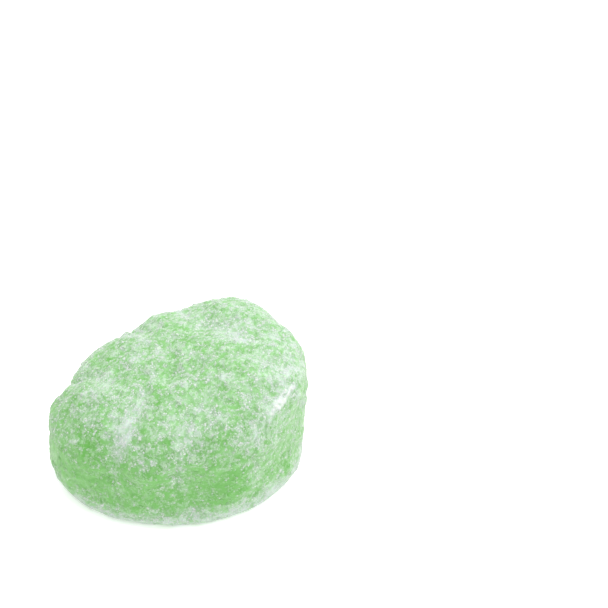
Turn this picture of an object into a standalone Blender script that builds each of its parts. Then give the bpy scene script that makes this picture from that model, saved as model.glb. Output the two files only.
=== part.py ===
"""A sugar-coated spearmint leaf jelly on its flat back: one solid with its largest sugar grains fused on.

The leaf runs along X, stem end at +X and tip at -X, and is widest near the stem end. Its crown is higher
there too. The face that came out of the mould is up: three soft creases a side fan out from the midrib and
turn down the wall, which leaves four plump lobes a side. The creases of the near side, -Y, are shallower. A
plain band goes round below them, down to the flat back.
"""

import math

import bmesh
import bpy
import numpy as np
from mathutils import Euler, Matrix

MM = 0.001

# The plain leaf, in millimetres.
HALF_LENGTH = 16.0
HALF_WIDTH = 13.28
OVATE = 0.113  # how much wider the leaf is towards its stem end
WAIST = 9.8  # height at which the wall stands furthest out
CROWN = 16.4  # height of the crown at mid-length
CROWN_RISE = 0.22  # the crown's rise towards the stem end, as a share of its height
SHOULDER_OUT = 3.75  # how square the shoulder is seen from above
SHOULDER_UP = 1.95  # how flat the crown is
FOOT_POWER = 4.1  # how square the wall is below the waist
FOOT_DROP = 1.59  # how far below the back the wall's curve would close, as a share of the waist height
FOOT_ROUND = 9.0  # how tight the rounded edge round the back is
FLAT_SHARE = 0.80  # how far out the back is quite flat, as a share of the outline
FLAT_WITHIN = 0.02  # what lies this near the back's plane is on it

# The creases between the lobes. Each row is (start on the midrib, slope, bend, depth), for the line
# x = start - slope * y + bend * y^2 with y measured outwards. The depth is a share of the full one.
FAR_CREASES = ((-8.89, 0.80, 0.021, 1.0), (2.72, 1.30, 0.065, 1.0), (7.36, 0.85, 0.042, 1.0))
NEAR_CREASES = ((-0.28, 1.10, 0.011, 0.8), (9.69, 1.00, 0.000, 0.65), (17.75, 0.90, 0.000, 0.45))
CREASE_DEPTH = 0.93
CREASE_REACH = 6.0  # from a crease to the top of the lobe beside it
SCORE_DEPTH = 0.50  # the sharp line at the bottom of a crease
SCORE_REACH = 1.9
CREASE_FADE_LOW = 1.9  # no crease below this height
CREASE_FADE_HIGH = 8.5  # full depth above this height
MIDRIB_DEPTH = 0.45
MIDRIB_REACH = 2.2
MIDRIB_ENDS = 12.0  # half length of the midrib's groove

# Lumps of the jelly and of the sugar crust: (wavelength, height) of each layer.
LUMP_LAYERS = ((11.0, 0.17), (5.0, 0.12), (2.6, 0.07))
LUMP_SEED = 41

# The largest sugar grains.
GRAIN_COUNT = 220
GRAIN_SIDE = (0.42, 0.66)
GRAIN_SUNK = 0.16  # how far a grain's middle lies below the surface, as a share of its side
GRAIN_SPACING = 2.05
GRAIN_SPACING_IN_CREASE = 1.25
GRAIN_LOWEST = 1.1  # the lowest grain's height above the back
GRAIN_SEED = 21

# Mesh.
FACES_A_SIDE = 22
CORE = np.array((0.0, 0.0, 7.5))  # the point inside the leaf that the surface is measured from

# Moves the middle of the finished box over the origin.
CENTRE_X = -0.082
CENTRE_Y = 0.076


def ease(value):
    """0 below 0, 1 above 1 and a smooth rise between."""
    value = np.clip(value, 0, 1)
    return value * value * (3 - 2 * value)


def outline_share(x, y):
    """How far out a point lies on its way from the leaf's middle to its outline, 1 being on the outline."""
    along = x / HALF_LENGTH
    across = y / HALF_WIDTH
    out = np.hypot(along, across)
    cosine = along / np.maximum(out, 1e-9)
    return out / (1 + OVATE * cosine * (1 - cosine * cosine))


def level(points):
    """Below 1 inside the plain leaf and above 1 outside it."""
    x, y, z = points.T
    height = z / (1 + CROWN_RISE * x / HALF_LENGTH)
    out = outline_share(x, y)
    up = np.maximum(height - WAIST, 0) / (CROWN - WAIST)
    down = np.maximum(WAIST - height, 0) / (WAIST * FOOT_DROP)
    wall = np.where(height > WAIST, out**SHOULDER_OUT + up**SHOULDER_UP, out**FOOT_POWER + down**FOOT_POWER)
    to_back = np.maximum(CORE[2] - z, 0) / CORE[2]
    return (wall**FOOT_ROUND + to_back**FOOT_ROUND) ** (1 / FOOT_ROUND)


def plain_surface(directions):
    """Where rays from the core leave the plain leaf, by halving the search again and again."""
    near = np.zeros(len(directions))
    far = np.full(len(directions), 40.0)
    for _ in range(45):
        middle = (near + far) / 2
        points = CORE + directions * middle[:, None]
        inside = level(points) < 1
        near = np.where(inside, middle, near)
        far = np.where(inside, far, middle)
    return CORE + directions * near[:, None]


def outward(points):
    """Unit normals of the plain leaf."""
    step = 1e-3
    slopes = []
    for axis in np.eye(3):
        slopes.append(level(points + step * axis) - level(points - step * axis))
    normals = np.stack(slopes, axis=1)
    return normals / np.maximum(np.linalg.norm(normals, axis=1, keepdims=True), 1e-12)


def midrib_line(x):
    """The midrib's y: it wanders a little, as the leaf's two halves are not alike."""
    return -2.45 - 0.22 * x + 0.0127 * x * x


def creases(points):
    """Each crease's distance from the points of its own side, seen from above, and its share of the depth."""
    x, y, _ = points.T
    for side, rows in ((1, FAR_CREASES), (-1, NEAR_CREASES)):
        out = side * y
        own_side = side * (y - midrib_line(x)) > 0
        for start, slope, bend, share in rows:
            offset = x - (start - slope * out + bend * out * out)
            distance = np.abs(offset) / np.hypot(1, slope - 2 * bend * out)
            yield np.where(own_side, distance, 99.0), share


def crease_distance(points):
    """Distance from each point to the nearest crease of its own side, seen from above."""
    return np.min([distance for distance, _ in creases(points)], axis=0)


def crease_depth(points, dips):
    """How deep the deepest crease lies at each point. Each dip is a depth and its reach to either side."""
    deepest = np.zeros(len(points))
    for distance, share in creases(points):
        depth = sum(depth * np.clip(1 - distance / reach, 0, 1) ** 2 for depth, reach in dips)
        deepest = np.maximum(deepest, share * depth)
    return deepest


def crease_strength(points):
    """0 at the midrib and low on the wall, 1 over the shoulder."""
    x, y, z = points.T
    from_rib = np.abs(y - midrib_line(x))
    rise = ease((outline_share(x, y) - 0.12) / 0.6) * ease((from_rib - 0.3) / 2.5)
    return rise * ease((z - CREASE_FADE_LOW) / (CREASE_FADE_HIGH - CREASE_FADE_LOW))


def carved(points):
    """How deep the creases and the midrib lie at each point."""
    x, y, z = points.T
    dips = ((CREASE_DEPTH, CREASE_REACH), (SCORE_DEPTH, SCORE_REACH))
    pressed = crease_depth(points, dips) * crease_strength(points)
    groove = np.clip(1 - np.abs(y - midrib_line(x)) / MIDRIB_REACH, 0, 1) ** 2
    groove = groove * ease((MIDRIB_ENDS - np.abs(x)) / 4) * (z > WAIST)
    return pressed + MIDRIB_DEPTH * groove


def lumps(points):
    """Low waves in random directions, added up layer by layer."""
    rng = np.random.default_rng(LUMP_SEED)
    height = np.zeros(len(points))
    for wavelength, size in LUMP_LAYERS:
        waves = 14
        for _ in range(waves):
            direction = rng.normal(size=3)
            direction /= np.linalg.norm(direction)
            phase = rng.uniform(0, 2 * math.pi)
            pitch = wavelength * rng.uniform(0.75, 1.35)
            height += size * math.sqrt(2 / waves) * np.sin(points @ direction * 2 * math.pi / pitch + phase)
    return height


def leaf_surface(directions):
    """The leaf's finished surface along each direction, and its outward normals."""
    points = plain_surface(directions)
    normals = outward(points)
    change = lumps(points) * ease(points[:, 2] / 2.5) - carved(points)
    points = points + normals * change[:, None]
    points[:, 2] = np.where(points[:, 2] < FLAT_WITHIN, 0, points[:, 2])
    return points, normals


def aim(point):
    """The direction for a point of the cube. The cube's lower edges go to the edge of the flat back."""
    x, y, z = point
    turn = math.atan2(y, x)
    radius = FLAT_SHARE / outline_share(math.cos(turn), math.sin(turn))
    if z <= -1:
        share = max(abs(x), abs(y))
        return share * radius * math.cos(turn), share * radius * math.sin(turn), -CORE[2]
    if z >= 0:
        return x, y, z
    slope = math.tan(-math.atan(z) / (math.pi / 4) * math.atan(CORE[2] / radius))
    return math.cos(turn), math.sin(turn), -slope


def cube_grid(faces_a_side):
    """Unit directions of a cube's evenly split faces, and the quads between them."""
    ticks = np.tan(np.linspace(-math.pi / 4, math.pi / 4, faces_a_side + 1))
    directions = []
    quads = []
    numbers = {}

    def number(point):
        key = tuple(round(value * 1e6) for value in point)
        if key not in numbers:
            numbers[key] = len(directions)
            directions.append(aim(point))
        return numbers[key]

    for axis in range(3):
        for sign in (-1, 1):
            for i in range(faces_a_side):
                for j in range(faces_a_side):
                    corners = []
                    for a, b in ((0, 0), (1, 0), (1, 1), (0, 1)):
                        point = [0.0, 0.0, 0.0]
                        point[axis] = float(sign)
                        point[(axis + 1) % 3] = ticks[i + a]
                        point[(axis + 2) % 3] = ticks[j + b]
                        corners.append(number(point))
                    quads.append(corners if sign > 0 else corners[::-1])
    directions = np.array(directions)
    return directions / np.linalg.norm(directions, axis=1, keepdims=True), quads


def new_object(name, points, faces, material, collection):
    """A smooth-shaded mesh object from points in millimetres."""
    mesh = bpy.data.meshes.new(name)
    mesh.from_pydata([tuple(point) for point in np.asarray(points) * MM], [], faces)
    mesh.materials.append(material)
    mesh.validate()
    for face in mesh.polygons:
        face.use_smooth = True
    obj = bpy.data.objects.new(name, mesh)
    collection.objects.link(obj)
    return obj


def grain_sites(rng):
    """Even places for the largest grains. They lie closer together in the creases, where sugar gathers."""
    directions = rng.normal(size=(6000, 3))
    directions /= np.linalg.norm(directions, axis=1, keepdims=True)
    points, normals = leaf_surface(directions)
    in_crease = np.clip(1 - crease_distance(points) / 1.6, 0, 1) * crease_strength(points)
    spacing = GRAIN_SPACING + (GRAIN_SPACING_IN_CREASE - GRAIN_SPACING) * in_crease
    kept = []
    for index in np.nonzero(points[:, 2] > GRAIN_LOWEST)[0]:
        if len(kept) == GRAIN_COUNT:
            break
        gaps = np.linalg.norm(points[kept] - points[index], axis=1)
        if not kept or (gaps > spacing[index]).all():
            kept.append(index)
    return points[kept], normals[kept]


def grain_object(number, rng, place, normal, material, collection):
    """One sugar crystal: a slightly skewed block, turned at random and partly sunk in the jelly."""
    side = rng.uniform(*GRAIN_SIDE)
    sizes = side * np.array((1.0, rng.uniform(0.72, 0.95), rng.uniform(0.62, 0.85)))
    turn = Euler(rng.uniform(0, 2 * math.pi, 3)).to_matrix().to_4x4()
    block = bmesh.new()
    bmesh.ops.create_cube(block, size=1)
    for corner in block.verts:
        corner.co *= 1 + rng.uniform(-0.1, 0.1)
    bmesh.ops.transform(block, matrix=turn @ Matrix.Diagonal((*sizes, 1)), verts=block.verts)
    bmesh.ops.triangulate(block, faces=block.faces)
    middle = place - normal * GRAIN_SUNK * side
    points = [np.array(corner.co) + middle for corner in block.verts]
    faces = [[corner.index for corner in face.verts] for face in block.faces]
    block.free()
    return new_object(f"grain_{number:03d}", points, faces, material, collection)


def fuse(obj, collection):
    """Joins a collection's objects to one by a Boolean union, then removes them."""
    union = obj.modifiers.new("union", "BOOLEAN")
    union.operation = "UNION"
    union.operand_type = "COLLECTION"
    union.collection = collection
    union.solver = "EXACT"
    bpy.context.view_layer.update()
    graph = bpy.context.evaluated_depsgraph_get()
    joined = bpy.data.meshes.new_from_object(obj.evaluated_get(graph))
    obj.modifiers.remove(union)
    obj.data = joined
    for grain in list(collection.objects):
        bpy.data.objects.remove(grain)
    bpy.data.collections.remove(collection)


def jelly_material():
    material = bpy.data.materials.new("sugared_jelly")
    material.use_nodes = True
    shader = material.node_tree.nodes["Principled BSDF"]
    shader.inputs["Base Color"].default_value = (0.40, 0.68, 0.36, 1)
    shader.inputs["Roughness"].default_value = 0.6
    shader.inputs["Subsurface Weight"].default_value = 0.3
    shader.inputs["Subsurface Scale"].default_value = 0.002
    material.diffuse_color = (0.40, 0.68, 0.36, 1)
    return material


def build_leaf():
    """The one solid: jelly first, then the grains fused to it."""
    scene = bpy.context.scene
    material = jelly_material()
    directions, quads = cube_grid(FACES_A_SIDE)
    points, _ = leaf_surface(directions)
    shift = np.array((CENTRE_X, CENTRE_Y, 0.0))
    leaf = new_object("spearmint_leaf", points + shift, quads, material, scene.collection)
    rng = np.random.default_rng(GRAIN_SEED)
    places, normals = grain_sites(rng)
    grains = bpy.data.collections.new("grains")
    scene.collection.children.link(grains)
    for number, (place, normal) in enumerate(zip(places, normals)):
        grain_object(number, rng, place + shift, normal, material, grains)
    fuse(leaf, grains)
    return leaf


for old in list(bpy.data.objects):
    bpy.data.objects.remove(old)

build_leaf()
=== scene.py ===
# %% [markdown]
# # A sugared spearmint leaf
#
# The real thing is a starch jelly, cast in a leaf-shaped hollow, turned out and tumbled in granulated
# sugar. Seen from a step away it is a plump pale-green pebble with soft lobes. Seen close up it is a
# crowd of clear crystals on a green ground. So it is built in three layers: the jelly, the pale crust
# where fine sugar has sunk in and half dissolved, and the crystals themselves, each a small block of its
# own. The first two share one mesh.
#
# The imported solid gives the place and the size of everything. We load it first.

import math

import bmesh
import bpy
import numpy as np
from mathutils import Euler, Matrix, Vector


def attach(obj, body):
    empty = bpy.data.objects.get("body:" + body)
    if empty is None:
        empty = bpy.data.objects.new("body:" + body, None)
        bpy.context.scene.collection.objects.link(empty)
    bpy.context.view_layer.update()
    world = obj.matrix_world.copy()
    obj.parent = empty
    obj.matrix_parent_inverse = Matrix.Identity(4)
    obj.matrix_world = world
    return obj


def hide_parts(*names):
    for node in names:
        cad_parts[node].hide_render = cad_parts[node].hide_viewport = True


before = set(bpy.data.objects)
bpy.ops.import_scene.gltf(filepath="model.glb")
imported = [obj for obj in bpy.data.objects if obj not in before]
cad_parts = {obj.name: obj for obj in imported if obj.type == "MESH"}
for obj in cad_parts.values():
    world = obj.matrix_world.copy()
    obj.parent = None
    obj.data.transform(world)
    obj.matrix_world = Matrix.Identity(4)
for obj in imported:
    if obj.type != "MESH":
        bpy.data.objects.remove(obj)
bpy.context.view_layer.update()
MM = 0.001

# %% [markdown]
# ## Helpers
#
# Colours are easiest to read off as sRGB hex values, the ones a paint program shows. Blender's shaders
# work in linear light, so one function turns the first into the second. A second function adds a node to
# any tree, with its settings and what goes into its sockets, whether a number or a link. Two more use it
# for what the materials ask for most often: stretching a value from one range to another, and blending
# two colours.

# %% Colour and node helpers
def linear(hex_colour):
    """A #RRGGBB colour as linear red, green, blue and alpha."""
    channels = [int(hex_colour[i : i + 2], 16) / 255 for i in (1, 3, 5)]
    return (*(c / 12.92 if c <= 0.04045 else ((c + 0.055) / 1.055) ** 2.4 for c in channels), 1.0)


def add_node(tree, kind, sockets=None, **settings):
    """A new node in a tree. sockets maps a socket's name or number to a value or to another node's output."""
    node = tree.nodes.new(kind)
    for name, value in settings.items():
        setattr(node, name, value)
    for socket, value in (sockets or {}).items():
        if isinstance(value, bpy.types.NodeSocket):
            tree.links.new(value, node.inputs[socket])
        else:
            node.inputs[socket].default_value = value
    return node


def ramp(tree, value, low, high, least=0.0, most=1.0, **settings):
    """A value stretched so that low becomes least and high becomes most, and held between the two."""
    sockets = {"Value": value, "From Min": low, "From Max": high, "To Min": least, "To Max": most}
    return add_node(tree, "ShaderNodeMapRange", sockets, **settings).outputs[0]


def blend(tree, share, first, second):
    """The first colour where share is 0 and the second where it is 1."""
    return add_node(tree, "ShaderNodeMix", {0: share, 6: first, 7: second}, data_type="RGBA").outputs[2]


print("middle grey, #808080, is", round(linear("#808080")[0], 3), "in linear light")

# %% [markdown]
# ## Camera
#
# The leaf lies low in the left half of the picture, seen from about 39 degrees above the table with its
# tip to the left. The numbers come from fitting the leaf's outline to the photograph. The camera looks at
# a point on the table to the right of the leaf and behind it, which is what puts the leaf low and left
# without any lens shift.

# %% Camera
CAMERA_TURN = -17.46  # degrees round the leaf, 0 being straight from its near side
CAMERA_TILT = 39.38  # degrees above the table
CAMERA_REACH = 188.2 * MM  # from the point it looks at
CAMERA_AIM = Vector((23.77, 23.94, 0.0)) * MM
LENS = 76.62  # focal length in mm
NEAREST_SEEN = 5 * MM

turn, tilt = math.radians(CAMERA_TURN), math.radians(CAMERA_TILT)
towards = Vector((math.sin(turn) * math.cos(tilt), -math.cos(turn) * math.cos(tilt), math.sin(tilt)))
camera = bpy.data.objects.new("camera", bpy.data.cameras.new("camera"))
camera.data.lens = LENS
camera.data.clip_start = NEAREST_SEEN
camera.location = CAMERA_AIM + towards * CAMERA_REACH
camera.rotation_euler = towards.to_track_quat("Z", "Y").to_euler()
bpy.context.scene.collection.objects.link(camera)
bpy.context.scene.camera = camera
print("camera stands", [round(value / MM, 1) for value in camera.location], "mm from the origin")

# %% [markdown]
# ## Table and light
#
# The photograph is high-key: a white table under soft light from all round, a little stronger from above,
# with hardly a shadow left. Such pictures are often taken on a light table, a sheet of white acrylic lit
# from below. The table here glows a little, which thins the shadow and lights the leaf's foot. A white
# sky gives the even part. One large soft lamp, above the leaf and past its stem end, makes the top and
# the right end lighter than the walls. The Standard view keeps the whites white and the greens as fresh
# as they are picked below.

# %% Table, sky and lamp
bpy.context.scene.view_settings.view_transform = "Standard"
SKY_STRENGTH = 0.64
TABLE_GLOW = 0.30
LAMP_POWER = 1.44  # watts, small because the lamp is close
LAMP_SIZE = 500 * MM
LAMP_PLACE = Vector((75.0, 5.0, 280.0)) * MM
TABLE_SIDE = 4.0  # metres, so that its edge is far off

sky = bpy.data.worlds.new("sky")
sky.use_nodes = True
sky.node_tree.nodes["Background"].inputs["Color"].default_value = linear("#FFFFFF")
sky.node_tree.nodes["Background"].inputs["Strength"].default_value = SKY_STRENGTH
bpy.context.scene.world = sky

lamp = bpy.data.objects.new("lamp", bpy.data.lights.new("lamp", "AREA"))
lamp.data.energy = LAMP_POWER
lamp.data.size = LAMP_SIZE
lamp.location = LAMP_PLACE
lamp.rotation_euler = LAMP_PLACE.to_track_quat("Z", "Y").to_euler()
bpy.context.scene.collection.objects.link(lamp)

bpy.ops.mesh.primitive_plane_add(size=TABLE_SIDE)
table = bpy.context.object
table.name = "table"
acrylic = bpy.data.materials.new("opal_acrylic")
acrylic.use_nodes = True
acrylic_shader = acrylic.node_tree.nodes["Principled BSDF"]
acrylic_shader.inputs["Base Color"].default_value = linear("#FAFAFA")
acrylic_shader.inputs["Roughness"].default_value = 0.9
acrylic_shader.inputs["Emission Color"].default_value = linear("#FFFFFF")
acrylic_shader.inputs["Emission Strength"].default_value = TABLE_GLOW
table.data.materials.append(acrylic)
print("lamp", LAMP_POWER, "W over a sky of", SKY_STRENGTH)

# %% [markdown]
# ## The leaf's shape as rules
#
# A cast jelly has no flat faces and no tidy circles, but it does follow rules. Seen from above it is an
# egg, wider towards the stem. Seen from the side it has a nearly upright wall, a soft shoulder, a crown
# that climbs towards the stem end and a rounded foot round a flat back. One formula says for any point in
# space how far out it is, below 1 inside the leaf and above 1 outside, and the surface is where it is
# exactly 1.
#
# The solid was made by the same rules with few faces. Here they are used again with many more, so the
# fine jelly follows the solid. All the lengths in these rules are in millimetres.

# %% The plain leaf
HALF_LENGTH = 16.0
HALF_WIDTH = 13.28
OVATE = 0.113  # how much wider the leaf is towards its stem end
WAIST = 9.8  # height at which the wall stands furthest out, at mid-length
CROWN = 16.4  # height of the crown at mid-length
CROWN_RISE = 0.22  # the crown's rise towards the stem end, as a share of its height
SHOULDER_OUT = 3.75  # a power: the higher it is, the further out the crown stays flat
SHOULDER_UP = 1.95  # a power: the higher it is, the further up the wall stays upright
FOOT_POWER = 4.1  # how square the wall is below the waist
FOOT_DROP = 1.59  # how far below the waist the wall's curve would close, as a share of the waist height
FOOT_ROUND = 9.0  # how tight the rounded edge round the back is
FLAT_SHARE = 0.80  # how far out the back is quite flat, as a share of the outline
FLAT_WITHIN = 0.02  # what lies this near the back's plane is on it
CORE = np.array((0.0, 0.0, 7.5))  # the point inside the leaf that its surface is measured from
CENTRE = np.array((-0.082, 0.076, 0.0))  # moves the middle of the finished box over the origin
FAR_OUTSIDE = 40.0  # further from the core than any of the surface
HALVINGS = 45
NORMAL_STEP = 1e-3


def ease(value):
    """0 below 0, 1 above 1 and a smooth rise between."""
    value = np.clip(value, 0, 1)
    return value * value * (3 - 2 * value)


def outline_share(x, y):
    """How far out a point lies on its way from the leaf's middle to its outline, 1 being on the outline."""
    along = x / HALF_LENGTH
    across = y / HALF_WIDTH
    out = np.hypot(along, across)
    cosine = along / np.maximum(out, 1e-9)
    return out / (1 + OVATE * cosine * (1 - cosine * cosine))


def level(points):
    """Below 1 inside the plain leaf and above 1 outside it."""
    x, y, z = points.T
    height = z / (1 + CROWN_RISE * x / HALF_LENGTH)
    out = outline_share(x, y)
    up = np.maximum(height - WAIST, 0) / (CROWN - WAIST)
    down = np.maximum(WAIST - height, 0) / (WAIST * FOOT_DROP)
    wall = np.where(height > WAIST, out**SHOULDER_OUT + up**SHOULDER_UP, out**FOOT_POWER + down**FOOT_POWER)
    to_back = np.maximum(CORE[2] - z, 0) / CORE[2]
    return (wall**FOOT_ROUND + to_back**FOOT_ROUND) ** (1 / FOOT_ROUND)


def plain_surface(directions):
    """Where rays from the core leave the plain leaf, by halving the search again and again."""
    near = np.zeros(len(directions))
    far = np.full(len(directions), FAR_OUTSIDE)
    for _ in range(HALVINGS):
        middle = (near + far) / 2
        inside = level(CORE + directions * middle[:, None]) < 1
        near = np.where(inside, middle, near)
        far = np.where(inside, far, middle)
    return CORE + directions * near[:, None]


def outward(points):
    """Unit normals of the plain leaf."""
    steps = NORMAL_STEP * np.eye(3)
    slopes = [level(points + step) - level(points - step) for step in steps]
    normals = np.stack(slopes, axis=1)
    return normals / np.maximum(np.linalg.norm(normals, axis=1, keepdims=True), 1e-12)


print("plain leaf:", 2 * HALF_LENGTH, "by", 2 * HALF_WIDTH, "mm, crown at", CROWN, "mm")

# %% [markdown]
# ## Lobes and midrib
#
# What makes it a leaf is pressed in: a shallow midrib and three creases a side, fanning out towards the
# tip and fading down the wall above a plain band. Each crease is a broad dip, which leaves the jelly
# between two creases standing as a plump lobe, with a narrower score at its bottom.

# %% Creases and midrib
# Each row is (start on the long axis, slope, bend, depth), for the line x = start - slope * y + bend * y^2
# with y measured outwards. The depth is a share of the full one.
FAR_CREASES = ((-8.89, 0.80, 0.021, 1.0), (2.72, 1.30, 0.065, 1.0), (7.36, 0.85, 0.042, 1.0))
NEAR_CREASES = ((-0.28, 1.10, 0.011, 0.8), (9.69, 1.00, 0.000, 0.65), (17.75, 0.90, 0.000, 0.45))
CREASE_DEPTH = 0.93
CREASE_REACH = 6.0  # from a crease to the top of the lobe beside it
SCORE_DEPTH = 0.50  # the sharp line at the bottom of a crease
SCORE_REACH = 1.9
CREASE_FADE_LOW = 1.9  # no crease below this height
CREASE_FADE_HIGH = 8.5  # full depth above this height
CREASES_START = 0.12  # how far out creases begin and over how much more they deepen, as shares of the outline
CREASES_DEEPEN = 0.6
CLEAR_OF_RIB = 0.3  # how far from the midrib they begin, and over how much more they deepen
DEEPEN_FROM_RIB = 2.5
NO_CREASE = 99.0  # stands for a crease of the other side
MIDRIB_PLACE = -2.45  # the midrib's y at mid-length, its slope and its bend
MIDRIB_SLOPE = -0.22
MIDRIB_BEND = 0.0127
MIDRIB_DEPTH = 0.45
MIDRIB_REACH = 2.2
MIDRIB_ENDS = 12.0  # half length of the midrib's groove
MIDRIB_FADE = 4.0


def midrib_line(x):
    """The midrib's y: it wanders a little, as the leaf's two halves are not alike."""
    return MIDRIB_PLACE + MIDRIB_SLOPE * x + MIDRIB_BEND * x * x


def creases(points):
    """Each crease's distance from the points of its own side, seen from above, and its share of the depth."""
    x, y, _ = points.T
    for side, rows in ((1, FAR_CREASES), (-1, NEAR_CREASES)):
        out = side * y
        own_side = side * (y - midrib_line(x)) > 0
        for start, slope, bend, share in rows:
            offset = x - (start - slope * out + bend * out * out)
            distance = np.abs(offset) / np.hypot(1, slope - 2 * bend * out)
            yield np.where(own_side, distance, NO_CREASE), share


def crease_distance(points):
    """Distance from each point to the nearest crease of its own side, seen from above."""
    return np.min([distance for distance, _ in creases(points)], axis=0)


def crease_depth(points, dips):
    """How deep the deepest crease lies at each point. Each dip is a depth and its reach to either side."""
    deepest = np.zeros(len(points))
    for distance, share in creases(points):
        depth = sum(depth * np.clip(1 - distance / reach, 0, 1) ** 2 for depth, reach in dips)
        deepest = np.maximum(deepest, share * depth)
    return deepest


def crease_strength(points):
    """0 at the midrib and low on the wall, 1 over the shoulder."""
    x, y, z = points.T
    from_rib = np.abs(y - midrib_line(x))
    outwards = ease((outline_share(x, y) - CREASES_START) / CREASES_DEEPEN)
    rise = outwards * ease((from_rib - CLEAR_OF_RIB) / DEEPEN_FROM_RIB)
    return rise * ease((z - CREASE_FADE_LOW) / (CREASE_FADE_HIGH - CREASE_FADE_LOW))


def along_midrib(points, reach):
    """1 on the midrib, fading out to either side and towards its ends."""
    x, y, z = points.T
    across = np.clip(1 - np.abs(y - midrib_line(x)) / reach, 0, 1) ** 2
    return across * ease((MIDRIB_ENDS - np.abs(x)) / MIDRIB_FADE) * (z > WAIST)


def carved(points):
    """How deep the creases and the midrib lie at each point."""
    dips = ((CREASE_DEPTH, CREASE_REACH), (SCORE_DEPTH, SCORE_REACH))
    pressed = crease_depth(points, dips) * crease_strength(points)
    return pressed + MIDRIB_DEPTH * along_midrib(points, MIDRIB_REACH)


print(len(FAR_CREASES), "creases on the far side and", len(NEAR_CREASES), "on the near side")

# %% [markdown]
# ## Lumps, and the whole surface
#
# A soft thing that has been tumbled is never even. Many low waves in random directions add up to lumps
# without a pattern, as swell does at sea. They are seeded, so that the solid and this script get the same
# ones. With them the surface is whole: the plain leaf, less what is pressed in, plus the lumps.

# %% Lumps and surface
LUMP_LAYERS = ((11.0, 0.17), (5.0, 0.12), (2.6, 0.07))  # (wavelength, height) of each layer
LUMP_SEED = 41
LUMP_FADE = 2.5  # the lumps grow over this height above the back
WAVES_A_LAYER = 14
PITCH_SPREAD = (0.75, 1.35)  # shortest and longest wave of a layer, as shares of its wavelength


def waves(points, layers, seed):
    """Low waves in random directions, added up layer by layer."""
    rng = np.random.default_rng(seed)
    height = np.zeros(len(points))
    for wavelength, size in layers:
        size_of_each = size * math.sqrt(2 / WAVES_A_LAYER)
        for _ in range(WAVES_A_LAYER):
            direction = rng.normal(size=3)
            direction /= np.linalg.norm(direction)
            phase = rng.uniform(0, 2 * math.pi)
            pitch = wavelength * rng.uniform(*PITCH_SPREAD)
            height += size_of_each * np.sin(points @ direction * 2 * math.pi / pitch + phase)
    return height


def leaf_surface(directions):
    """The leaf's surface along each direction, as the solid has it, and its outward normals."""
    points = plain_surface(directions)
    normals = outward(points)
    lumps = waves(points, LUMP_LAYERS, LUMP_SEED) * ease(points[:, 2] / LUMP_FADE)
    change = lumps - carved(points)
    points = points + normals * change[:, None]
    points[:, 2] = np.where(points[:, 2] < FLAT_WITHIN, 0, points[:, 2])
    return points, normals


print(len(LUMP_LAYERS), "layers of lumps, the largest", LUMP_LAYERS[0][0], "mm from crest to crest")

# %% [markdown]
# ## Places for the largest grains
#
# The solid has its largest grains fused on. Their places are found again here with the same seed and the
# same draws, because the map of the sugar needs them: wet sugar creeps up round a grain. Places are tried
# in random order, and one is kept if no other grain is too near, so the grains lie evenly, and closer in
# the creases.

# %% Grain places
GRAIN_COUNT = 220
GRAIN_TRIES = 6000
GRAIN_SPACING = 2.05
GRAIN_SPACING_IN_CREASE = 1.25
GRAIN_LOWEST = 1.1  # the lowest grain's height above the back
GRAIN_SEED = 21
GATHER_REACH = 1.6  # how far to either side of a crease sugar gathers


def gathered(points):
    """1 at the bottom of a crease, where sugar gathers, fading out to either side."""
    return np.clip(1 - crease_distance(points) / GATHER_REACH, 0, 1) * crease_strength(points)


def grain_sites(rng):
    """Even places for the largest grains. They lie closer together in the creases, where sugar gathers."""
    rays = rng.normal(size=(GRAIN_TRIES, 3))
    rays /= np.linalg.norm(rays, axis=1, keepdims=True)
    points, normals = leaf_surface(rays)
    spacing = GRAIN_SPACING + (GRAIN_SPACING_IN_CREASE - GRAIN_SPACING) * gathered(points)
    kept = []
    for index in np.nonzero(points[:, 2] > GRAIN_LOWEST)[0]:
        if len(kept) == GRAIN_COUNT:
            break
        gaps = np.linalg.norm(points[kept] - points[index], axis=1)
        if not kept or (gaps > spacing[index]).all():
            kept.append(index)
    return points[kept], normals[kept]


grain_rng = np.random.default_rng(GRAIN_SEED)
grain_places, grain_normals = grain_sites(grain_rng)
print(len(grain_places), "places for the largest grains")

# %% [markdown]
# ## Where the sugar lies
#
# Sugar does not cover the leaf evenly. It gathers in the creases, on the crown and round the foot, it is
# rubbed thin where the walls bulge, and here and there it is heaped or missing. The same map also carries
# painted light: the band round the foot is whiter partly as painted light from the glowing table, the
# walls facing the stem end whiter and those facing the tip greener partly as painted light and shade from
# the lamp's side, and the streak's white is partly a painted highlight. One number says how much lies at
# each point, from 0 for bare jelly to 1 for a full cover. Only in the streak of packed sugar does it go
# above 1. It is stored on the mesh, so that both the jelly's colour and the scattering of crystals can
# read the same map.
#
# Most of the map is rules and seeded waves. The streak and six patches were picked in the photograph, and
# the camera above gave their places on the leaf.

# %% The map of the sugar
# Each row is a place and a radius in whole millimetres, for a patch that was picked in the photograph.
HEAPS = (
    (-7, -7, 13, 2),  # on the near shoulder, towards the tip
    (-10, 0, 14, 2),  # on the tip's own shoulder
    (8, 1, 17, 2),  # on the crown, towards the stem end
)
BARE_SPOTS = (
    (-12, -7, 10, 3),  # on the wall beside the tip
    (3, -14, 7, 3),  # on the belly of the near wall
    (2, -7, 16, 2),  # a hollow in the near half of the crown
)
HEAP_SUGAR = 0.15  # what a heap adds in its middle
BARE_SUGAR = 0.10  # what a bare spot takes away in its middle
# The streak is packed sugar, and its white is partly a painted highlight.
STREAK_FROM = np.array((8.7, -10.6, 14.2))
STREAK_TO = np.array((12.7, -7.4, 14.9))
STREAK_STEPS = 9
STREAK_ENDS = 0.45  # how wide the streak reaches at its ends and in its middle
STREAK_MIDDLE = 0.75
STREAK_THICK = 0.8
STREAK_LAYERS = ((0.7, 0.25),)  # its ragged edge, as (wavelength, strength)
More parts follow.
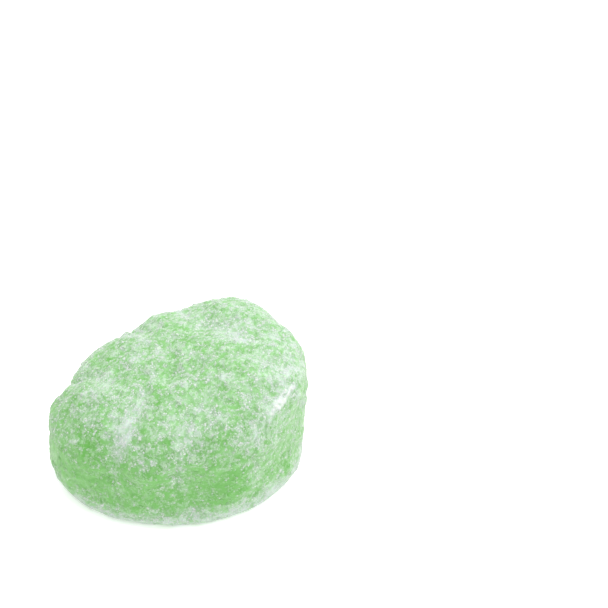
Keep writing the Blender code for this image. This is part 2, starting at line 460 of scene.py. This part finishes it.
PATCH_LAYERS = ((5.0, 0.03), (2.6, 0.03), (1.2, 0.05))  # (wavelength, strength) of each layer
PATCH_SEED = 12
COVER = 0.52  # on a wall that faces straight to one side
COVER_ON_TOP = 0.13  # what facing up adds
UP_FROM = -0.1  # a normal's z where a surface begins to face up, and how much more until it counts in full
UP_SPAN = 0.9
# Facing the stem end adds white, partly as sugar and partly as painted light from the lamp's side. Facing the
# tip takes it away as painted shade.
COVER_AND_LIGHT_AT_STEM = 0.09  # what facing the stem end adds, and facing the tip takes away
# The band round the foot is whiter partly from sugar and partly as painted light, where the glowing table
# lifts the shaded foot.
FOOT_SUGAR_AND_LIGHT = 0.32  # what the band round the foot adds
FOOT_TOP = 4.8  # where the band begins, and over what height it thickens
FOOT_DEPTH = 3.8
CREASE_SUGAR = 0.15
RUBBED = 0.10  # how much sugar is rubbed off where the wall bulges most
RUBBED_HEIGHT = 7.0
RUBBED_REACH = 4.0
GRAIN_SUGAR = 0.10
GRAIN_SKIRT = 0.5  # how far round a grain the wet sugar reaches
SKIRT_CUT = 1.2  # beyond this it counts for nothing
LEAST_SUGAR = 0.04


def spotted(points, spots):
    """1 in the middle of a spot, 0.37 at its radius, near 0 at twice that. Spots that overlap add up."""
    strength = np.zeros(len(points))
    for x, y, z, radius in spots:
        distance = np.linalg.norm(points - np.array((x, y, z)), axis=1)
        strength += np.exp(-((distance / radius) ** 2))
    return strength


def streak_spots():
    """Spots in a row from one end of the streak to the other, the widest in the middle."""
    for share in np.linspace(0, 1, STREAK_STEPS):
        radius = STREAK_ENDS + (STREAK_MIDDLE - STREAK_ENDS) * math.sin(math.pi * share)
        yield (*(STREAK_FROM + (STREAK_TO - STREAK_FROM) * share), radius)


def streak(points):
    """Above 1 where sugar is packed white, its white partly a painted highlight. The edges are ragged, as the
    sugar was smeared on.
    """
    return STREAK_THICK * spotted(points, streak_spots()) * (1 + waves(points, STREAK_LAYERS, PATCH_SEED))


def near_grain(points):
    """1 at a large grain, fading out within about a millimetre."""
    nearness = np.zeros(len(points))
    for place in grain_places:
        close = np.nonzero(np.abs(points - place).max(axis=1) < SKIRT_CUT)[0]
        distance = np.linalg.norm(points[close] - place, axis=1)
        nearness[close] = np.maximum(nearness[close], np.exp(-((distance / GRAIN_SKIRT) ** 2)))
    return nearness


def sugar_and_painted_light(points, normals):
    """How much sugar lies at each point, with painted light on the foot band and the stem-end walls: 0 for
    bare jelly, 1 for a full cover, more where it is packed, its white there partly a painted highlight.
    """
    facing_up = ease((normals[:, 2] - UP_FROM) / UP_SPAN)
    # the band round the foot, whiter partly as painted light from the table
    foot = ease((FOOT_TOP - points[:, 2]) / FOOT_DEPTH)
    # walls facing the stem end are whiter and those facing the tip greener, partly as painted light and shade
    amount = COVER + COVER_ON_TOP * facing_up + COVER_AND_LIGHT_AT_STEM * normals[:, 0] + FOOT_SUGAR_AND_LIGHT * foot
    amount += CREASE_SUGAR * gathered(points)
    bulge = np.exp(-(((points[:, 2] - RUBBED_HEIGHT) / RUBBED_REACH) ** 2))
    amount -= RUBBED * bulge * (1 - np.abs(normals[:, 2]))
    amount += waves(points, PATCH_LAYERS, PATCH_SEED) + GRAIN_SUGAR * near_grain(points)
    amount += HEAP_SUGAR * spotted(points, HEAPS) - BARE_SUGAR * spotted(points, BARE_SPOTS)
    return np.maximum(np.clip(amount, LEAST_SUGAR, 1), streak(points))


print(len(HEAPS), "heaps,", len(BARE_SPOTS), "bare spots and one packed streak")

# %% [markdown]
# ## The jelly's mesh
#
# A sphere of latitude and longitude would crowd its faces at two poles. A cube whose six faces are split
# into even squares and then blown up onto the leaf has none, and its squares keep nearly one size all
# over. Its lower edges are steered to the edge of the flat back, so that the back stays truly flat.
#
# The sugar has a thickness of its own. It fills the bottoms of the creases, rises a little on the heaps, in
# the streak and round each large grain, and roughens the whole skin with waves that are finer than the
# solid's faces can hold.

# %% Jelly mesh
FACES_A_SIDE = 118
SKIN = 0.03  # the film of sugar that lies everywhere
CRUST_LAYERS = ((1.3, 0.030), (0.7, 0.018))  # (wavelength, height) of each layer
CRUST_SEED = 8
CRUST_WHEN_BARE = 0.4  # the share of the crust's height that is left where no sugar lies
CRUST_FADE = 1.5  # the crust grows over this height above the back
CREASE_FILL = 0.60  # sugar packed in the bottom of a crease
CREASE_FILL_REACH = 1.7
MIDRIB_FILL = 0.18
MIDRIB_FILL_REACH = 1.0
SKIRT_RISE = 0.14
HEAP_RISE = 0.20
STREAK_RISE = 0.12
BACK_WITHIN = 0.6  # what lies this near the table counts as the back
SUNK = 0.25  # how deep a crystal sits, as a share of its size, and how much deeper on the back
SUNK_MORE = 0.25


def aim(point):
    """The direction for a point of the cube. The cube's lower edges go to the edge of the flat back."""
    x, y, z = point
    angle = math.atan2(y, x)
    radius = FLAT_SHARE / outline_share(math.cos(angle), math.sin(angle))
    if z <= -1:
        share = max(abs(x), abs(y))
        return share * radius * math.cos(angle), share * radius * math.sin(angle), -CORE[2]
    if z >= 0:
        return x, y, z
    slope = math.tan(-math.atan(z) / (math.pi / 4) * math.atan(CORE[2] / radius))
    return math.cos(angle), math.sin(angle), -slope


def cube_grid(faces_a_side):
    """Unit directions of a cube's evenly split faces, and the quads between them."""
    ticks = np.tan(np.linspace(-math.pi / 4, math.pi / 4, faces_a_side + 1))
    directions = []
    quads = []
    numbers = {}

    def number(point):
        key = tuple(round(value * 1e6) for value in point)
        if key not in numbers:
            numbers[key] = len(directions)
            directions.append(aim(point))
        return numbers[key]

    for axis in range(3):
        for sign in (-1, 1):
            for i in range(faces_a_side):
                for j in range(faces_a_side):
                    corners = []
                    for a, b in ((0, 0), (1, 0), (1, 1), (0, 1)):
                        point = [0.0, 0.0, 0.0]
                        point[axis] = float(sign)
                        point[(axis + 1) % 3] = ticks[i + a]
                        point[(axis + 2) % 3] = ticks[j + b]
                        corners.append(number(point))
                    quads.append(corners if sign > 0 else corners[::-1])
    directions = np.array(directions)
    return directions / np.linalg.norm(directions, axis=1, keepdims=True), quads


directions, quads = cube_grid(FACES_A_SIDE)
surface, surface_normals = leaf_surface(directions)
# the map of the sugar, which also carries painted light on the foot band and the stem-end walls and the
# streak's painted highlight
sugar = sugar_and_painted_light(surface, surface_normals)
rough = CRUST_WHEN_BARE + (1 - CRUST_WHEN_BARE) * sugar
crust = waves(surface, CRUST_LAYERS, CRUST_SEED) * rough * ease(surface[:, 2] / CRUST_FADE)
packed = crease_depth(surface, ((CREASE_FILL, CREASE_FILL_REACH),)) * crease_strength(surface)
packed += MIDRIB_FILL * along_midrib(surface, MIDRIB_FILL_REACH)
packed += SKIRT_RISE * near_grain(surface) + HEAP_RISE * spotted(surface, HEAPS)
packed += STREAK_RISE * streak(surface)
proud = crust + packed + SKIN
skin = surface + surface_normals * proud[:, None]
skin[:, 2] = np.where(surface[:, 2] <= 0, 0, np.maximum(skin[:, 2], 0))

jelly_mesh = bpy.data.meshes.new("jelly")
jelly_mesh.from_pydata([tuple(point) for point in (skin + CENTRE) * MM], [], quads)
for face in jelly_mesh.polygons:
    face.use_smooth = True
jelly_mesh.attributes.new("sugar", "FLOAT", "POINT").data.foreach_set("value", sugar)
sunk = SUNK + SUNK_MORE * (surface[:, 2] < BACK_WITHIN)
jelly_mesh.attributes.new("sunk", "FLOAT", "POINT").data.foreach_set("value", sunk)
jelly = bpy.data.objects.new("jelly", jelly_mesh)
bpy.context.scene.collection.objects.link(jelly)
print("jelly:", len(quads) * 2, "triangles, sugar from", round(sugar.min(), 2), "to", round(sugar.max(), 2))
print("its skin stands", proud.min().round(2), "to", proud.max().round(2), "mm proud of the leaf's surface")

# %% [markdown]
# ## The lace of the frosting
#
# Close up the frosting is a lace: a pale film of fine sugar with green pits in it, a few tenths of a
# millimetre apart. The leaf should be pale where crystals lie and green where none do, so the jelly's
# shader and the tree that scatters the crystals must agree. Both kinds of tree have the same noise
# texture, and a mesh's position in one is its Object coordinate in the other, so one function can build
# the same nodes in both.

# %% Lace nodes
LACE_SCALE = 2500.0  # per metre
LACE_WEIGHT = 4.0  # how much the noise counts against the map of the sugar
THINNEST = 2.20  # weighed noise and sugar together: below this there is no film
THICKEST = 3.00  # and above this it is whole


def lace(tree, place, amount, low, high):
    """From 0 in the green pits to 1 on the film. More sugar closes the pits."""
    ragged = {"Vector": place, "Scale": LACE_SCALE, "Detail": 2.0, "Roughness": 0.65}
    noise = add_node(tree, "ShaderNodeTexNoise", ragged).outputs[0]
    terms = {0: noise, 1: LACE_WEIGHT, 2: amount}
    weighed = add_node(tree, "ShaderNodeMath", terms, operation="MULTIPLY_ADD").outputs[0]
    return ramp(tree, weighed, low, high, interpolation_type="SMOOTHSTEP")


print("pits about", round(1 / LACE_SCALE / MM, 2), "mm apart")

# %% [markdown]
# ## Starch jelly under a sugar crust
#
# The common name is starch jelly: boiled sugar and corn starch, cast in starch, then sanded. Light goes
# about a millimetre into it and comes out again green, so its shader scatters light below the surface.
# Its skin is not glassy, because fine sugar has sunk in and half dissolved. That shows as a pale bloom,
# broken up into the lace above. Where the map of the sugar is low the lace opens and the green comes
# through. Where it is high a haze of the finest sugar closes the pits and the bloom grows whiter, and in
# the streak it is plain white, packed sugar with a painted highlight. The map's painted light makes the
# foot band and the walls facing the stem end whiter too.

# %% Jelly material
JELLY_DEEP = "#62AD48"
JELLY_PALE = "#78BA63"
BLOOM = "#93C486"
BLOOM_THICK = "#CBDCD0"
# packed white: packed sugar with a painted highlight on it
PACKED_WHITE_AND_HIGHLIGHT = "#E2EAE2"
CLOUD_SCALE = 260.0  # per metre, so soft clouds in the jelly about 4 mm apart
GRIT_SCALE = 2600.0  # per metre, so grit about 0.4 mm apart
GRIT_HEIGHT = 0.1 * MM
LIGHT_DEPTH = 1.1 * MM  # how far light goes into the jelly
HAZE_FROM = 0.38  # amounts of sugar between which the haze closes in, and how far it goes
HAZE_TO = 0.95
HAZE_MOST = 0.80
WHITER_FROM = 0.40  # amounts of sugar between which the bloom grows whiter
WHITER_TO = 0.95
# the packed white, partly a painted highlight, comes in between these amounts
PACKED_FROM = 0.95  # amounts of sugar between which it turns packed white
PACKED_TO = 1.45
DULL_LEAST = 0.38  # roughness in the pits and on the film
DULL_MOST = 0.75


def jelly_finish():
    """Green jelly with a pale lace of sunken sugar on it, whiter where the map of the sugar carries painted
    light or the streak's painted highlight.
    """
    material = bpy.data.materials.new("starch_jelly_sugar_sanded")
    material.use_nodes = True
    tree = material.node_tree
    tree.nodes.clear()
    place = add_node(tree, "ShaderNodeTexCoord").outputs["Object"]
    amount = add_node(tree, "ShaderNodeAttribute", attribute_name="sugar").outputs["Fac"]
    clouds = add_node(tree, "ShaderNodeTexNoise", {"Vector": place, "Scale": CLOUD_SCALE, "Detail": 3.0})
    green = blend(tree, clouds.outputs["Fac"], linear(JELLY_DEEP), linear(JELLY_PALE))
    film = lace(tree, place, amount, THINNEST, THICKEST)
    haze = ramp(tree, amount, HAZE_FROM, HAZE_TO, most=HAZE_MOST)
    cover = add_node(tree, "ShaderNodeMath", {0: film, 1: haze}, operation="MAXIMUM").outputs[0]
    whiter = ramp(tree, amount, WHITER_FROM, WHITER_TO)
    frosting = blend(tree, whiter, linear(BLOOM), linear(BLOOM_THICK))
    colour = blend(tree, cover, green, frosting)
    # the streak turns packed white, partly a painted highlight
    colour = blend(tree, ramp(tree, amount, PACKED_FROM, PACKED_TO), colour, linear(PACKED_WHITE_AND_HIGHLIGHT))
    gritty = {"Vector": place, "Scale": GRIT_SCALE, "Detail": 2.0, "Roughness": 0.6}
    grit = add_node(tree, "ShaderNodeTexNoise", gritty).outputs["Fac"]
    relief = add_node(tree, "ShaderNodeBump", {"Height": grit, "Strength": 0.35, "Distance": GRIT_HEIGHT})
    shader = add_node(
        tree,
        "ShaderNodeBsdfPrincipled",
        {
            "Base Color": colour,
            "Roughness": ramp(tree, film, 0, 1, least=DULL_LEAST, most=DULL_MOST),
            "Normal": relief.outputs[0],
            "IOR": 1.45,
            "Subsurface Weight": 0.75,
            "Subsurface Radius": (0.8, 1.0, 0.6),
            "Subsurface Scale": LIGHT_DEPTH,
            "Sheen Weight": 0.15,
        },
    )
    add_node(tree, "ShaderNodeOutputMaterial", {"Surface": shader.outputs[0]})
    return material


jelly_look = jelly_finish()
jelly_mesh.materials.append(jelly_look)
print("jelly material:", len(jelly_look.node_tree.nodes), "nodes")

# %% [markdown]
# ## Granulated sugar
#
# Sugar grows in blocky crystals with clean flat faces: cubes and thick plates, often with their edges
# worn. They are clear, but a crowd of them looks white, because every face turns some light back. A
# single one on the jelly shows the green below it. So their shader is a pale one, greener where few lie,
# that lets a little of the light through. Its shine is soft, as tumbling scratches the faces. The
# refractive index is that of sugar, 1.54.

# %% Sugar material
SUGAR_WHITE = "#DBE2DD"
# packed white: packed sugar with a painted highlight on it
SUGAR_PACKED_AND_HIGHLIGHT = "#F0F4F0"
SUGAR_CLEAR = "#8EC580"
AMOUNT_WEIGHT = 1.6  # how much the map of the sugar counts against a crystal's own frost
WHITE_FROM = 0.95  # the two together, between which a crystal turns from clear to white
WHITE_TO = 2.15


def sugar_finish():
    """Most crystals show the green below them. Where sugar lies thick, and here and there, they are white,
    and also where the map carries painted light or highlight.
    """
    material = bpy.data.materials.new("granulated_sugar")
    material.use_nodes = True
    tree = material.node_tree
    tree.nodes.clear()
    amount = add_node(tree, "ShaderNodeAttribute", attribute_name="sugar").outputs["Fac"]
    frost = add_node(tree, "ShaderNodeAttribute", attribute_name="frost").outputs["Fac"]
    terms = {0: amount, 1: AMOUNT_WEIGHT, 2: frost}
    both = add_node(tree, "ShaderNodeMath", terms, operation="MULTIPLY_ADD").outputs[0]
    colour = blend(tree, ramp(tree, both, WHITE_FROM, WHITE_TO), linear(SUGAR_CLEAR), linear(SUGAR_WHITE))
    # crystals in the streak turn packed white, partly a painted highlight
    colour = blend(tree, ramp(tree, amount, PACKED_FROM, PACKED_TO), colour, linear(SUGAR_PACKED_AND_HIGHLIGHT))
    shader = add_node(
        tree,
        "ShaderNodeBsdfPrincipled",
        {"Base Color": colour, "Roughness": 0.6, "IOR": 1.54, "Transmission Weight": 0.15},
    )
    add_node(tree, "ShaderNodeOutputMaterial", {"Surface": shader.outputs[0]})
    return material


sugar_look = sugar_finish()
print("sugar material:", sugar_look.name)

# %% [markdown]
# ## Crystal shapes
#
# A handful of different blocks is enough: turned and scaled at random, no two look alike. The coarse ones
# have worn edges, which a one-step bevel gives. The finer ones are only a pixel or two across in the
# picture, so a block's twelve triangles will do, and the dust is broken corners of four triangles each.

# %% Crystal shapes
SHAPE_SEED = 5
SHAPES_A_FAMILY = 6
WORN = 0.13  # how far in the edges of the coarse ones are worn
SKEW = 0.1  # how far a corner may stray from a true block, as a share of its distance from the middle
BROKEN_CORNER = ((-0.3, -0.3, -0.3), (0.8, -0.3, -0.3), (-0.3, 0.8, -0.3), (-0.3, -0.3, 0.8))


def crystal_mesh(name, rng, proportions, bevel, broken):
    """One crystal about 1 unit long: a skewed block, with or without worn edges, or a broken corner."""
    block = bmesh.new()
    if broken:
        bmesh.ops.convex_hull(block, input=[block.verts.new(at) for at in BROKEN_CORNER])
    else:
        bmesh.ops.create_cube(block, size=1)
    for corner in block.verts:
        corner.co *= 1 + rng.uniform(-SKEW, SKEW)
    if bevel:
        bmesh.ops.bevel(block, geom=block.edges[:], offset=bevel, segments=1, affect="EDGES")
    bmesh.ops.transform(block, matrix=Matrix.Diagonal((*proportions, 1)), verts=block.verts)
    bmesh.ops.triangulate(block, faces=block.faces)
    bmesh.ops.recalc_face_normals(block, faces=block.faces)
    for face in block.faces:
        face.smooth = True
    mesh = bpy.data.meshes.new(name)
    block.to_mesh(mesh)
    block.free()
    return mesh


def crystal_family(name, rng, low, high, bevel, broken=False):
    """A hidden collection of crystals whose proportions lie between two limits."""
    family = bpy.data.collections.new(name)
    for index in range(SHAPES_A_FAMILY):
        proportions = [rng.uniform(a, b) for a, b in zip(low, high)]
        mesh = crystal_mesh(f"{name}_{index}", rng, proportions, bevel, broken)
        family.objects.link(bpy.data.objects.new(mesh.name, mesh))
    return family


shape_rng = np.random.default_rng(SHAPE_SEED)
families = {
    # the least and the most of a crystal's length, width and height, and how far its edges are worn
    "blocks": crystal_family("blocks", shape_rng, (0.9, 0.75, 0.5), (1.05, 0.95, 0.7), WORN),
    "chips": crystal_family("chips", shape_rng, (0.9, 0.75, 0.48), (1.1, 0.95, 0.66), 0.0),
    "plates": crystal_family("plates", shape_rng, (1.0, 0.75, 0.25), (1.25, 1.0, 0.35), 0.0),
    "dust": crystal_family("dust", shape_rng, (0.8, 0.7, 0.60), (1.1, 1.0, 0.90), 0.0, broken=True),
}

# %% [markdown]
# ## Sanding the leaf with Geometry Nodes
#
# Tumbling throws crystals at the leaf from all sides, and each sticks where it lands, roughly flat and a
# little sunk. The tree does the same. It spreads points over the jelly no closer than a set distance,
# keeps more of them where the map of the sugar is high, pushes each a little way in, and puts a crystal
# there, turned and scaled at random. It also notes on each how frosted it is, by the film below it and by
# chance, for the sugar's shader. The instances are made real at the end, because the export drops
# instances.

# %% Sanding tree
MOST_TILT = math.radians(28)  # how far a crystal may lean about either of its level axes
CHANCE_FROST = 0.5  # the most frost that chance adds to a crystal
CHANCE_POWER = 4.0  # the higher, the fewer get much of it


def sanding_tree():
    """The Geometry Nodes tree that covers a mesh with crystals of one family."""
    tree = bpy.data.node_groups.new("sugar_sanding", "GeometryNodeTree")
    face = tree.interface
    face.new_socket("Jelly", in_out="INPUT", socket_type="NodeSocketGeometry")
    for name, kind in (
        ("Crystals", "NodeSocketCollection"),
        ("Finish", "NodeSocketMaterial"),
        ("Spacing", "NodeSocketFloat"),
        ("Most per square metre", "NodeSocketFloat"),
        ("No sugar below", "NodeSocketFloat"),
        ("Full above", "NodeSocketFloat"),
        ("Smallest", "NodeSocketFloat"),
        ("Largest", "NodeSocketFloat"),
        ("Seed", "NodeSocketInt"),
    ):
        face.new_socket(name, in_out="INPUT", socket_type=kind)
    face.new_socket("Sugar", in_out="OUTPUT", socket_type="NodeSocketGeometry")

    given = add_node(tree, "NodeGroupInput").outputs
    amount = add_node(tree, "GeometryNodeInputNamedAttribute", {"Name": "sugar"}, data_type="FLOAT")
    sunk = add_node(tree, "GeometryNodeInputNamedAttribute", {"Name": "sunk"}, data_type="FLOAT")
    place = add_node(tree, "GeometryNodeInputPosition").outputs[0]
    share = lace(tree, place, amount.outputs["Attribute"], given["No sugar below"], given["Full above"])
    spread = add_node(
        tree,
        "GeometryNodeDistributePointsOnFaces",
        {
            "Mesh": given["Jelly"],
            "Distance Min": given["Spacing"],
            "Density Max": given["Most per square metre"],
            "Density Factor": share,
            "Seed": given["Seed"],
        },
        distribute_method="POISSON",
    )
    limits = {2: given["Smallest"], 3: given["Largest"], "Seed": given["Seed"]}
    size = add_node(tree, "FunctionNodeRandomValue", limits, data_type="FLOAT").outputs[1]
    depth = add_node(tree, "ShaderNodeMath", {0: size, 1: sunk.outputs["Attribute"]}, operation="MULTIPLY")
    inwards = add_node(tree, "ShaderNodeMath", {0: depth.outputs[0], 1: -1.0}, operation="MULTIPLY")
    pushed = {0: spread.outputs["Normal"], "Scale": inwards.outputs[0]}
    push = add_node(tree, "ShaderNodeVectorMath", pushed, operation="SCALE").outputs[0]
    seated = add_node(tree, "GeometryNodeSetPosition", {"Geometry": spread.outputs["Points"], "Offset": push})
    film = lace(tree, place, amount.outputs["Attribute"], THINNEST, THICKEST)
    chance = add_node(tree, "FunctionNodeRandomValue", {"Seed": given["Seed"]}, data_type="FLOAT").outputs[1]
    odd = add_node(tree, "ShaderNodeMath", {0: chance, 1: CHANCE_POWER}, operation="POWER").outputs[0]
    frost = add_node(tree, "ShaderNodeMath", {0: odd, 1: CHANCE_FROST, 2: film}, operation="MULTIPLY_ADD")
    frosted = add_node(
        tree,
        "GeometryNodeStoreNamedAttribute",
        {"Geometry": seated.outputs[0], "Name": "frost", "Value": frost.outputs[0]},
        data_type="FLOAT",
        domain="POINT",
    )
    spin = add_node(
        tree,
        "FunctionNodeRandomValue",
        {0: (-MOST_TILT, -MOST_TILT, 0.0), 1: (MOST_TILT, MOST_TILT, math.tau), "Seed": given["Seed"]},
        data_type="FLOAT_VECTOR",
    )
    turned = add_node(
        tree,
        "FunctionNodeRotateRotation",
        {"Rotation": spread.outputs["Rotation"], "Rotate By": spin.outputs[0]},
        rotation_space="LOCAL",
    )
    shapes = add_node(
        tree,
        "GeometryNodeCollectionInfo",
        {"Collection": given["Crystals"], "Separate Children": True, "Reset Children": True},
    )
    placed = add_node(
        tree,
        "GeometryNodeInstanceOnPoints",
        {
            "Points": frosted.outputs[0],
            "Instance": shapes.outputs[0],
            "Pick Instance": True,
            "Rotation": turned.outputs[0],
            "Scale": size,
        },
    )
    real = add_node(tree, "GeometryNodeRealizeInstances", {0: placed.outputs[0]}).outputs[0]
    painted = add_node(tree, "GeometryNodeSetMaterial", {"Geometry": real, "Material": given["Finish"]})
    add_node(tree, "NodeGroupOutput", {0: painted.outputs[0]})
    return tree


def sand(name, tree, values):
    """Runs the tree over the jelly and keeps the result as a plain mesh object of its own."""
    host = bpy.data.objects.new(name, jelly_mesh.copy())
    bpy.context.scene.collection.objects.link(host)
    nodes = host.modifiers.new("sanding", "NODES")
    nodes.node_group = tree
    for item in tree.interface.items_tree:
        if item.item_type == "SOCKET" and item.in_out == "INPUT" and item.name in values:
            nodes[item.identifier] = values[item.name]
    graph = bpy.context.evaluated_depsgraph_get()
    result = bpy.data.meshes.new_from_object(host.evaluated_get(graph))
    host.modifiers.remove(nodes)
    old = host.data
    host.data = result
    bpy.data.meshes.remove(old)
    result.name = name
    result.attributes.remove(result.attributes["sunk"])
    return host


sanding = sanding_tree()
print("sanding tree:", len(sanding.nodes), "nodes")

# %% [markdown]
# ## Four sizes of crystal
#
# Granulated sugar runs from about 0.2 to 0.6 mm, and rubbing breaks some of it smaller. Each size is one
# piece: worn blocks, the coarsest; sharp chips and thin plates, which cover most of the leaf; and dust,
# the broken corners that fill the gaps between them.

# %% Scatter the crystals
SPRINKLES = (
    # name, family, spacing in mm, most per mm2, none below, full above, smallest and largest in mm, seed
    ("sugar_blocks", "blocks", 0.45, 1.2, 2.45, 3.10, 0.26, 0.38, 31),
    ("sugar_chips", "chips", 0.16, 11.0, 2.20, 2.60, 0.15, 0.26, 32),
    ("sugar_plates", "plates", 0.16, 11.0, 2.20, 2.60, 0.16, 0.28, 33),
    ("sugar_dust", "dust", 0.11, 24.0, 2.00, 2.50, 0.11, 0.20, 34),
)
crystal_pieces = []
for name, family, spacing, most, none_below, full_above, smallest, largest, seed in SPRINKLES:
    piece = sand(
        name,
        sanding,
        {
            "Crystals": families[family],
            "Finish": sugar_look,
            "Spacing": spacing * MM,
            "Most per square metre": most / MM**2 * 1,
            "No sugar below": none_below,
            "Full above": full_above,
            "Smallest": smallest * MM,
            "Largest": largest * MM,
            "Seed": seed,
        },
    )
    crystal_pieces.append(piece)
    print(name, len(piece.data.polygons), "triangles")

# %% [markdown]
# ## The largest grains
#
# The solid's own grains are plain skewed blocks. They are made again here at the same places, from the
# same draws, so that each crystal lies over its own solid grain, and this time with worn edges.

# %% Largest grains
GRAIN_SIDE = (0.42, 0.66)
GRAIN_WIDTH = (0.72, 0.95)  # least and most, as shares of its side
GRAIN_HEIGHT = (0.62, 0.85)
GRAIN_SUNK = 0.16  # how far a grain's middle lies below the surface, as a share of its side
GRAIN_WEAR = 0.09
GRAIN_FROST = (0.2, 0.7)


def largest_grains(rng, places, normals):
    """One mesh of all the largest grains, each a skewed block with worn edges at its own place."""
    joined = bmesh.new()
    for place, normal in zip(places, normals):
        side = rng.uniform(*GRAIN_SIDE)
        sizes = side * np.array((1.0, rng.uniform(*GRAIN_WIDTH), rng.uniform(*GRAIN_HEIGHT)))
        turned = Euler(rng.uniform(0, 2 * math.pi, 3)).to_matrix().to_4x4()
        made = bmesh.ops.create_cube(joined, size=1)["verts"]
        for corner in made:
            corner.co *= 1 + rng.uniform(-SKEW, SKEW)
        edges = list({edge for corner in made for edge in corner.link_edges})
        worn = bmesh.ops.bevel(joined, geom=edges, offset=GRAIN_WEAR, segments=1, affect="EDGES")["verts"]
        middle = Vector(place - normal * GRAIN_SUNK * side + CENTRE)
        move = Matrix.Translation(middle) @ turned @ Matrix.Diagonal((*sizes, 1))
        bmesh.ops.transform(joined, matrix=move, verts=worn)
    bmesh.ops.scale(joined, vec=(MM, MM, MM), verts=joined.verts)
    bmesh.ops.triangulate(joined, faces=joined.faces)
    mesh = bpy.data.meshes.new("sugar_grains")
    joined.to_mesh(mesh)
    joined.free()
    mesh.materials.append(sugar_look)
    corners = len(mesh.vertices) // len(places)
    amounts = sugar_and_painted_light(places, normals)
    mesh.attributes.new("sugar", "FLOAT", "POINT").data.foreach_set("value", np.repeat(amounts, corners))
    frost = rng.uniform(*GRAIN_FROST, len(places))
    mesh.attributes.new("frost", "FLOAT", "POINT").data.foreach_set("value", np.repeat(frost, corners))
    piece = bpy.data.objects.new("sugar_grains", mesh)
    bpy.context.scene.collection.objects.link(piece)
    return piece


crystal_pieces.append(largest_grains(grain_rng, grain_places, grain_normals))
print("sugar_grains", len(crystal_pieces[-1].data.polygons), "triangles")

# %% [markdown]
# ## Putting it together
#
# Every piece rides on the one body and takes its finish from the one slot. The jelly stands in for the
# solid, which stays behind as the collision shape, hidden.

# %% Finish
for piece in (jelly, *crystal_pieces):
    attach(piece, "root")
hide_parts("spearmint_leaf")

total = sum(len(piece.data.loop_triangles) or len(piece.data.polygons) for piece in crystal_pieces)
print("crystals in all:", total, "triangles")
